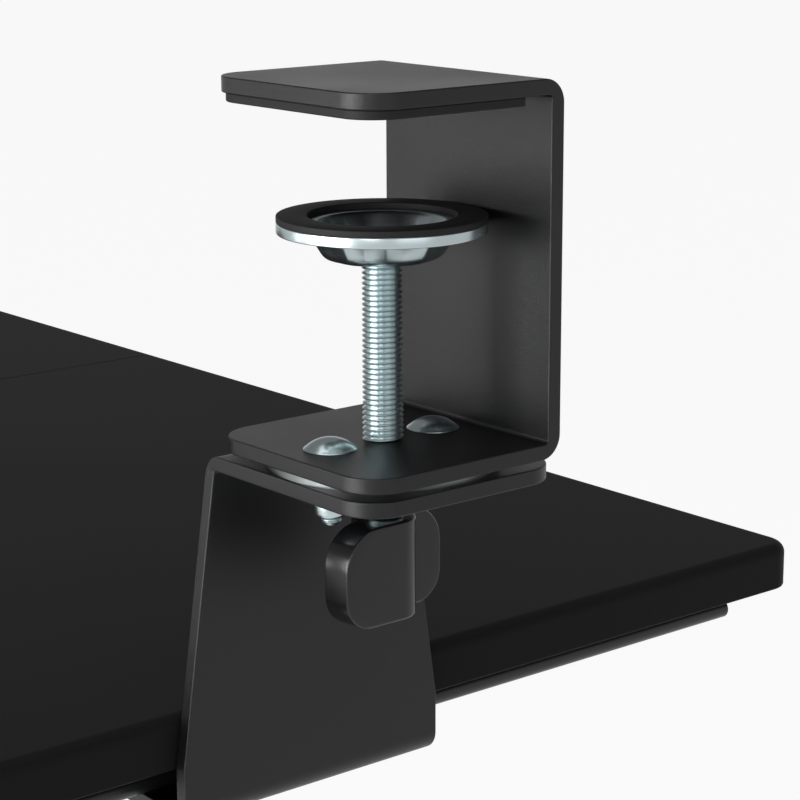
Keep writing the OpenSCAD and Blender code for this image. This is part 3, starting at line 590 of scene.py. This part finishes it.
def ringPoints():
    # a flat rubber ring on the foot's flange; its profile starts on the flat underside
    outR, inR, top = ring["outR"], ring["inR"], ring["top"]
    low = top - ring["thickness"]
    start = (inR + ring["startIn"], low)
    profile = roundCorners([start, (outR, low), (outR, top), (inR, top), (inR, low), start],
                           [0, ring["lowEdge"], ring["edge"], ring["edge"], ring["lowEdge"], 0], steps=4)
    return revolved(profile[:-1], ring["around"])


# Clamp screw

rod = {"around": 48, "tipR": 0.01}  # every threaded rod closes to a point at its ends
screw = {"majorR": 4.9, "rootR": 4.1, "pitch": 1.25, "runOut": 0.7, "top": -36.7, "low": -116.8,
         "journalR": 3.2, "headLow": -33.9, "rivetR": 4.7, "rivetH": 1.6,
         "rivetEdge": ((0, 0), (0, 0.5), (-0.7, 1.1), (-2.2, 1.5))}


def helixRows(low, high, pitch, crestR, rootR, runOut):
    # A right-hand thread whose grid lines follow the helix: z = (turn + phase) pitch + pitch angle / 2 pi, so
    # each line keeps its own height between root and crest. Both ends are cut flat and run out to the root.
    phase = np.array([0, 0.07, 0.14, 0.42, 0.5, 0.58, 0.86, 0.93])  # where in a turn each line starts
    height = np.array([1, 0.95, 0.82, 0.08, 0, 0.08, 0.82, 0.95])  # 0 at the root and 1 at the crest
    turns = np.arange(math.floor(low / pitch) - 1, math.ceil(high / pitch) + 1)
    start = (turns[:, None] + phase).reshape(-1, 1) * pitch
    tall = np.tile(height, len(turns))[:, None]
    angle = np.linspace(0, 2 * math.pi, rod["around"] + 1)
    z = np.clip(start + pitch * angle / (2 * math.pi), low, high)
    fade = np.clip((z - low) / runOut, 0, 1) * np.clip((high - z) / runOut, 0, 1)
    r = rootR + (crestR - rootR) * tall * fade
    return np.stack([r * np.cos(angle), r * np.sin(angle), z], -1)


def roundRows(profile):
    # plain circles, one row for each (r, z) of a profile, with the first column once more at the end
    angle = np.linspace(0, 2 * math.pi, rod["around"] + 1)
    r, z = np.array(profile, float).T[:, :, None]
    return np.stack([r * np.cos(angle), r * np.sin(angle), z + np.zeros(len(angle))], -1)


def closedRod(parts):
    # rows of circles and threads joined end to end, with both ends filled in
    rows = np.concatenate(parts)
    around = rod["around"]
    last = (len(rows) - 1) * (around + 1)
    caps = [list(range(around)), list(range(last, last + around))]
    return rows.reshape(-1, 3), gridFaces(len(rows), around + 1, wrap=False) + caps


def screwPoints():
    # a threaded rod with a plain journal in the foot and a rivet head over it
    head, top, low = screw["headLow"], screw["top"], screw["low"]
    thread = helixRows(low, top, screw["pitch"], screw["majorR"], screw["rootR"], screw["runOut"])
    rivet = steppedEdge(screw["rivetR"], head, screw["rivetEdge"]) + [(rod["tipR"], head + screw["rivetH"])]
    journal = [(screw["journalR"], top), (screw["journalR"], head)]
    return closedRod([roundRows([(rod["tipR"], low)]), thread, roundRows(journal + rivet)])


# Wing knob

knob = {"wing": 7.8, "reach": 18.2, "top": -98.8, "height": 24.8, "topR": 9.8, "lowR": 8.0, "edge": 0.8,
        "slope": 0.9, "endCorner": 0.6}


def knobPoints():
    # Level by level: a round hub, and a wing to each side whose outer face leaves the hub on its tangent.
    # Round corners at its top and bottom draw the wing's tip in, a smaller radius draws in its faces, and the
    # end face slopes back across the wing, as cast ends do.
    top, edge, corner = knob["top"], knob["edge"], knob["endCorner"]
    low = top - knob["height"]
    coarse = 1 - np.cos(np.linspace(0, math.pi / 2, 13))
    fine = 1 - np.cos(np.linspace(0, math.pi / 2, 6))
    topDepths, lowDepths = [np.unique(np.round(np.append(radius * coarse, edge * fine), 4))
                            for radius in (knob["topR"], knob["lowR"])]
    levels = np.append(top - topDepths, low + lowDepths[::-1])
    z = levels[:, None]
    tip = knob["reach"] - cornerInset(top - z, knob["topR"]) - cornerInset(z - low, knob["lowR"])
    back = cornerInset(top - z, edge) + cornerInset(z - low, edge)
    face = knob["wing"] - back
    near = tip - knob["slope"]
    root = np.stack([-back, np.sqrt(face ** 2 - back ** 2)], -1)
    run = np.array([0.25, 0.5, 0.75])
    inner = np.stack([-back + 0 * run, face + (tip - corner - face) * run], -1)
    farCorner = arcPoints(-back - corner, tip - corner, corner, 0, 90, 5)
    nearCorner = arcPoints(-face + corner, near - corner, corner, 90, 180, 5)
    outer = np.stack([-face + 0 * run, (near - corner) * (1 - run)], -1)
    hub = arcPoints(0, 0, face, 180, 270, 16)[:, :-1]
    half = np.concatenate([root, inner, farCorner, nearCorner, outer, hub], 1)
    return stackedOutlines(np.concatenate([half, -half], 1), levels)


# Carriage bolts and lock nuts

# rim, lowRim, nose and tipEdge are small roundings, as (out, up) steps from the size that they sit on
bolt = {"headR": 6.4, "headH": 2.8, "seat": -79.8, "shankR": 2.5, "rootR": 2.15, "neck": 3.5, "tail": -98.3,
        "pitch": 0.8, "runOut": 0.3, "tipH": 0.8, "rim": ((-0.15, 0.28), (0, 0.1), (-0.1, 0)),
        "tipEdge": ((-0.95, 0.03), (-0.4, 0.25), (-0.05, 0.7)), "places": (-15.6, 16.0)}
nut = {"flats": 8.0, "boreR": 2.55, "top": -89.2, "height": 6.8, "flange": 1.13, "flangeR": 5.9,
       "collar": 2.72, "collarR": 3.75, "rim": ((-0.1, 0), (0, -0.15)), "lowRim": ((0, 0.3), (-0.15, 0.1)),
       "flangeRoot": (5.0, -0.1), "hexTop": -0.35, "hexLow": (0.3, 0.1), "hexCone": 4.3,
       "nose": ((0, 0.8), (-0.1, 0.4), (-0.35, 0.1), (-0.7, 0)), "around": 96}


def boltPoints(y):
    # A shallow dome, R sin a out and R (1 - cos a) down from its top, over a shank. Below the neck the shank
    # has its thread, and its end is rounded.
    headR, headH, seat, tail = bolt["headR"], bolt["headH"], bolt["seat"], bolt["tail"]
    domeR = (headR ** 2 + headH ** 2) / (2 * headH)
    a = np.linspace(0, math.asin(headR / domeR), 14)[:-1]
    domeOut = np.maximum(domeR * np.sin(a), rod["tipR"])
    dome = np.column_stack([domeOut, seat + headH - domeR * (1 - np.cos(a))]).tolist()
    neck = [(bolt["shankR"], seat), (bolt["shankR"], seat - bolt["neck"])]
    head = dome + steppedEdge(headR, seat, bolt["rim"]) + neck
    thread = helixRows(tail + bolt["tipH"], seat - bolt["neck"], bolt["pitch"], bolt["shankR"], bolt["rootR"],
                       bolt["runOut"])
    tip = [(rod["tipR"], tail)] + steppedEdge(bolt["rootR"], tail, bolt["tipEdge"])
    points, faces = closedRod([roundRows(tip), thread, roundRows(head[::-1])])
    return points + [0, y, 0], faces


def nutPoints(y):
    # A hexagon on a thin round flange, with a round collar at its end. The hexagon's radius at an angle is
    # flats / 2 over the cosine of the angle from the middle of its side, and its low corners are cut round.
    around, top, bore, flangeR = nut["around"], nut["top"], nut["boreR"], nut["flangeR"]
    low = top - nut["height"]
    under = top - nut["flange"]
    shoulder = low + nut["collar"]
    angle = np.linspace(0, 2 * math.pi, around, endpoint=False)
    fold = (angle + math.pi / 6) % (math.pi / 3) - math.pi / 6
    hexR = nut["flats"] / 2 / np.cos(fold)
    rootR, rootDrop = nut["flangeRoot"]
    rows = [(bore, top), *steppedEdge(flangeR, top, nut["rim"]), *steppedEdge(flangeR, under, nut["lowRim"]),
            (rootR, under + rootDrop), (hexR, under + nut["hexTop"]), (hexR, shoulder + nut["hexLow"][0]),
            (np.minimum(hexR, nut["hexCone"]), shoulder + nut["hexLow"][1]), (nut["collarR"], shoulder),
            *steppedEdge(nut["collarR"], low, nut["nose"]), (bore, low), (bore, top)]
    r = np.array([radius + np.zeros(around) for radius, _ in rows])
    z = np.array([height + np.zeros(around) for _, height in rows])
    points = np.stack([r * np.cos(angle), r * np.sin(angle) + y, z], -1)
    return points.reshape(-1, 3), gridFaces(len(rows), around)


# Slides

slide = {"centre": 57.6, "floor": -175.8, "sheet": 1.2, "height": 10.7, "raceU": 9.12, "raceV": 3.28,
         "raceR": 2.28, "outerRaceDeg": (60, -108), "innerRaceDeg": (232, 130), "neckOut": 0.3, "neckR": 1.0,
         "webIn": 0.4, "webR": 0.3, "channelFrom": -174.0, "channelTo": 101.0, "railFrom": -18.5,
         "railTo": 256.5, "edge": 0.12, "edgeSteps": 2}


def foldedStrip(half, fromY, toY):
    # A strip folded to a section and carried straight along Y. The section's centre line is given from its
    # middle outwards, and its other half mirrors it.
    line = np.concatenate([(half * [-1, 1])[:0:-1], half])
    step = np.gradient(line, axis=0)
    step /= np.linalg.norm(step, axis=1)[:, None]
    across = np.stack([-step[:, 1], step[:, 0]], -1) * slide["sheet"] / 2
    run = np.append(0, np.cumsum(np.linalg.norm(np.diff(line, axis=0), axis=1)))
    table = np.column_stack([run, line + across, line - across])
    points, faces = bentSheet(table, lambda s: (fromY, toY), run[1:-1], slide["sheet"], slide["edge"],
                              steps=slide["edgeSteps"])
    return points + [slide["centre"], 0, slide["floor"]], faces


def channelPoints():
    # the outer member: a web on top, and a lip at each side that curls round the balls as their outer race
    webV = slide["height"] - slide["sheet"] / 2
    race = arcPoints(slide["raceU"], slide["raceV"], slide["raceR"], *slide["outerRaceDeg"], 18)
    neck = (race[0][0] + slide["neckOut"], webV)
    web = roundCorners([(0, webV), neck, race[0]], [0, slide["neckR"], 0])
    return foldedStrip(np.concatenate([web[:-1], race]), slide["channelFrom"], slide["channelTo"])


def railPoints():
    # the inner member: a web at the bottom, whose edges curl up as the balls' inner race
    webV = slide["sheet"] / 2
    race = arcPoints(slide["raceU"], slide["raceV"], slide["raceR"], *slide["innerRaceDeg"], 12)
    bend = (race[0][0] - slide["webIn"], webV)
    web = roundCorners([(0, webV), bend, race[0]], [0, slide["webR"], 0], steps=2)
    return foldedStrip(np.concatenate([web[:-1], race]), slide["railFrom"], slide["railTo"])


# Tray panels

tray = {"half": 352.0, "front": -191.4, "rear": 108.6, "under": -165.1, "top": -151.3, "topR": 3.4,
        "lowR": 0.8, "topShoulder": 0.6, "shoulder": 0.4, "cornerR": 8.8, "leastR": 0.02, "cornerSteps": 10,
        "seam": 0.35, "seamGap": 0.02, "sharpDeg": 40}


def panelPoints():
    # The left board as stacked outlines. At its edges a level is r (1 - cos a) from the face and its plan is
    # drawn in by r (1 - sin a). The corners keep their centre until that is more than their radius.
    top, under, topR, lowR = tray["top"], tray["under"], tray["topR"], tray["lowR"]
    a = np.linspace(0, math.pi / 2, 13)
    b = np.linspace(math.pi / 2, 0, 7)
    levels = np.concatenate([
        [top], top - topR * (1 - np.cos(a)), [top - topR - tray["shoulder"]],
        [under + lowR + tray["shoulder"]], under + lowR * (1 - np.cos(b)), [under]])
    inset = np.concatenate([
        [topR + tray["topShoulder"]], topR * (1 - np.sin(a)), [0.0],
        [0.0], lowR * (1 - np.sin(b)), [lowR + tray["shoulder"]]])[:, None]
    z = levels[:, None]
    r = np.maximum(tray["cornerR"] - inset, tray["leastR"])
    seamInset = np.maximum(0, np.maximum(tray["seam"] - (top - z), tray["seam"] - (z - under)))
    endX, seamX = -tray["half"] + inset, -seamInset - tray["seamGap"]
    userY, deskY = tray["front"] + inset, tray["rear"] - inset
    seamEnds = np.stack([np.hstack([seamX, seamX]), np.hstack([userY, deskY])], -1)
    deskCorner = arcPoints(endX + r, deskY - r, r, 90, 180, tray["cornerSteps"])
    userCorner = arcPoints(endX + r, userY + r, r, 180, 270, tray["cornerSteps"])
    return stackedOutlines(np.concatenate([seamEnds, deskCorner, userCorner], 1), levels)


# Put every piece on both sides

clampPieces = [
    ("clamp_strap", strapPoints, coatMaterial, "frame", "black_coat", True),
    ("clamp_pad", padPoints, rubberMaterial, "frame", "black_rubber", True),
    ("support_bracket", bracketPoints, coatMaterial, "frame", "black_coat", True),
    ("clamp_foot", footPoints, zincMaterial, "foot", "zinc_plate", True),
    ("foot_ring", ringPoints, rubberMaterial, "foot", "black_rubber", True),
    ("clamp_screw", screwPoints, zincMaterial, "screw", "zinc_plate", False),
    ("wing_knob", knobPoints, knobMaterial, "screw", "knob_coat", False),
    ("slide_channel", channelPoints, channelMaterial, "tray", "dark_steel", True),
    ("slide_rail", railPoints, slideMaterial, "frame", "slide_steel", True)]


def onSide(points, side, mirrored):
    # the clamp's own place is round its screw; the right side is its mirror image, or the same part moved
    if side == "left":
        return points - [screwX, 0, 0]
    if mirrored:
        return points * [-1, 1, 1] + [screwX, 0, 0]
    return points + [screwX, 0, 0]


for key, maker, material, body, slot, mirrored in clampPieces:
    points, faces = maker()
    for side in sides:
        bodyName = body if body in ("frame", "tray") else f"{body}_{side}"
        makePiece(f"{key}_{side}", onSide(points, side, mirrored), faces, material, bodyName)
    print("made", key)

for key, maker in (("carriage_bolts", boltPoints), ("flange_nuts", nutPoints)):
    first, faces = maker(bolt["places"][0])
    second, _ = maker(bolt["places"][1])
    allFaces = faces + [[i + len(first) for i in face] for face in faces]
    for side in sides:
        placed = onSide(np.concatenate([first, second]), side, True)
        makePiece(f"{key}_{side}", placed, allFaces, zincMaterial, "frame")
    print("made", key)

points, faces = panelPoints()
for side, flip in zip(sides, ([1, 1, 1], [-1, 1, 1])):
    makePiece(f"tray_panel_{side}", points * flip, faces, boardMaterial, "tray",
              sharpDeg=tray["sharpDeg"])
print("made tray panels")


# Studio: a pale wall and floor, soft boxes and the camera

studio = {"backdrop": 0.93, "ambient": 0.22, "zenith": 0.21, "wallLow": -0.08, "wallHigh": 0.34,
          "floorGlow": 1.03, "floorLevel": -0.74, "floorHalf": 30, "floorTone": 0.9, "glowSeen": 0.89,
          "glowMirrored": 0.5}

world = bpy.data.worlds.new("studio")
bpy.context.scene.world = world
world.use_nodes = True
tree = world.node_tree
tree.nodes.clear()
rays = addNode(tree, "ShaderNodeLightPath")
heading = addNode(tree, "ShaderNodeTexCoord")
height = addNode(tree, "ShaderNodeSeparateXYZ", links={0: heading.outputs["Generated"]})
# what a reflection sees: a pale wall round the horizon that darkens towards the ceiling
wall = addNode(tree, "ShaderNodeMapRange", {"interpolation_type": "SMOOTHSTEP"},
               {"From Min": studio["wallLow"], "From Max": studio["wallHigh"],
                "To Min": studio["backdrop"], "To Max": studio["zenith"]}, {"Value": height.outputs["Z"]})
glossy = addNode(tree, "ShaderNodeMix", {"data_type": "FLOAT"}, {"A": studio["ambient"]},
                 {"Factor": rays.outputs["Is Glossy Ray"], "B": wall.outputs["Result"]})
direct = addNode(tree, "ShaderNodeMath", {"operation": "MAXIMUM"},
                 links={0: rays.outputs["Is Camera Ray"], 1: rays.outputs["Is Transmission Ray"]})
strength = addNode(tree, "ShaderNodeMix", {"data_type": "FLOAT"}, {"B": studio["backdrop"]},
                   {"Factor": direct.outputs[0], "A": glossy.outputs["Result"]})
sky = addNode(tree, "ShaderNodeBackground", values={"Color": (1, 1, 1, 1)},
              links={"Strength": strength.outputs["Result"]})
out = tree.nodes.new("ShaderNodeOutputWorld")
tree.links.new(sky.outputs[0], out.inputs["Surface"])

# the floor is mostly an even glow to the camera and half of one in reflections, and matt in all else
floorMesh = bpy.data.meshes.new("studio_floor")
floorCorners = [(x * studio["floorHalf"], y * studio["floorHalf"], studio["floorLevel"])
                for x, y in ((-1, -1), (1, -1), (1, 1), (-1, 1))]
floorMesh.from_pydata(floorCorners, [], [(0, 1, 2, 3)])
floorMaterial, tree = newMaterial("pale studio floor")
matt = addNode(tree, "ShaderNodeBsdfDiffuse", values={"Color": (*[studio["floorTone"]] * 3, 1)})
glow = addNode(tree, "ShaderNodeEmission", values={"Color": (1, 1, 1, 1), "Strength": studio["floorGlow"]})
rays = addNode(tree, "ShaderNodeLightPath")
mirrored = addNode(tree, "ShaderNodeMath", {"operation": "MULTIPLY"}, {1: studio["glowMirrored"]},
                   {0: rays.outputs["Is Glossy Ray"]})
share = addNode(tree, "ShaderNodeMath", {"operation": "MULTIPLY_ADD"}, {1: studio["glowSeen"]},
                {0: rays.outputs["Is Camera Ray"], 2: mirrored.outputs[0]})
mixed = addNode(tree, "ShaderNodeMixShader",
                links={"Fac": share.outputs[0], 1: matt.outputs[0], 2: glow.outputs[0]})
finishMaterial(tree, mixed)
floorMesh.materials.append(floorMaterial)
floor = bpy.data.objects.new("studio_floor", floorMesh)
bpy.context.scene.collection.objects.link(floor)

# a soft box's spread is how wide its beam is; narrow ones keep off the floor beside them
softBoxes = {
    "overhead": {"place": (-0.5, 0.2, 1.5), "aim": (-0.35, 0.0, -0.1), "size": (1.6, 1.6), "watts": 9,
                 "spreadDeg": 180},
    "deskSide": {"place": (-0.08, 1.75, -0.08), "aim": (-0.38, 0.0, -0.05), "size": (1.5, 0.8), "watts": 20,
                 "spreadDeg": 146},
    "farSide": {"place": (0.83, 1.01, -0.28), "aim": (-0.38, 0.0, -0.06), "size": (0.25, 0.3), "watts": 0.24,
                "spreadDeg": 120},
    "behindCamera": {"place": (-1.5, 1.4, 0.3), "aim": (-0.38, 0.0, -0.1), "size": (0.6, 0.6), "watts": 5,
                     "spreadDeg": 180},
    "leftEnd": {"place": (-2.2, 0.2, 0.3), "aim": (-0.38, 0.0, -0.1), "size": (1.2, 1.2), "watts": 3.5,
                "spreadDeg": 180}}
for name, box in softBoxes.items():
    light = bpy.data.lights.new(name, "AREA")
    light.shape = "RECTANGLE"
    light.size, light.size_y = box["size"]
    light.energy = box["watts"]
    light.spread = math.radians(box["spreadDeg"])
    lamp = bpy.data.objects.new(name, light)
    bpy.context.scene.collection.objects.link(lamp)
    lamp.location = box["place"]
    toAim = Vector(box["aim"]) - Vector(box["place"])
    lamp.rotation_euler = toAim.to_track_quat("-Z", "Y").to_euler()

shot = {"place": (-0.80644, 0.34276, 0.05999), "look": (0.74877, -0.62010, -0.23413), "rollRad": -0.0031839,
        "lens": 105.78, "sensor": 36.0, "clip": (0.05, 100.0)}
look = Vector(shot["look"]).normalized()
level = look.cross(Vector((0, 0, 1))).normalized()
up = level.cross(look)
cosRoll, sinRoll = math.cos(shot["rollRad"]), math.sin(shot["rollRad"])
rightAxis = cosRoll * level + sinRoll * up
upAxis = cosRoll * up - sinRoll * level
camera = bpy.data.objects.new("camera", bpy.data.cameras.new("camera"))
bpy.context.scene.collection.objects.link(camera)
camera.data.lens = shot["lens"]
camera.data.sensor_width = shot["sensor"]
camera.data.clip_start, camera.data.clip_end = shot["clip"]
basis = Matrix((rightAxis, upAxis, -look)).transposed().to_4x4()
camera.matrix_world = Matrix.Translation(shot["place"]) @ basis
bpy.context.scene.camera = camera
bpy.context.scene.view_settings.view_transform = "Standard"
print("studio and camera set")
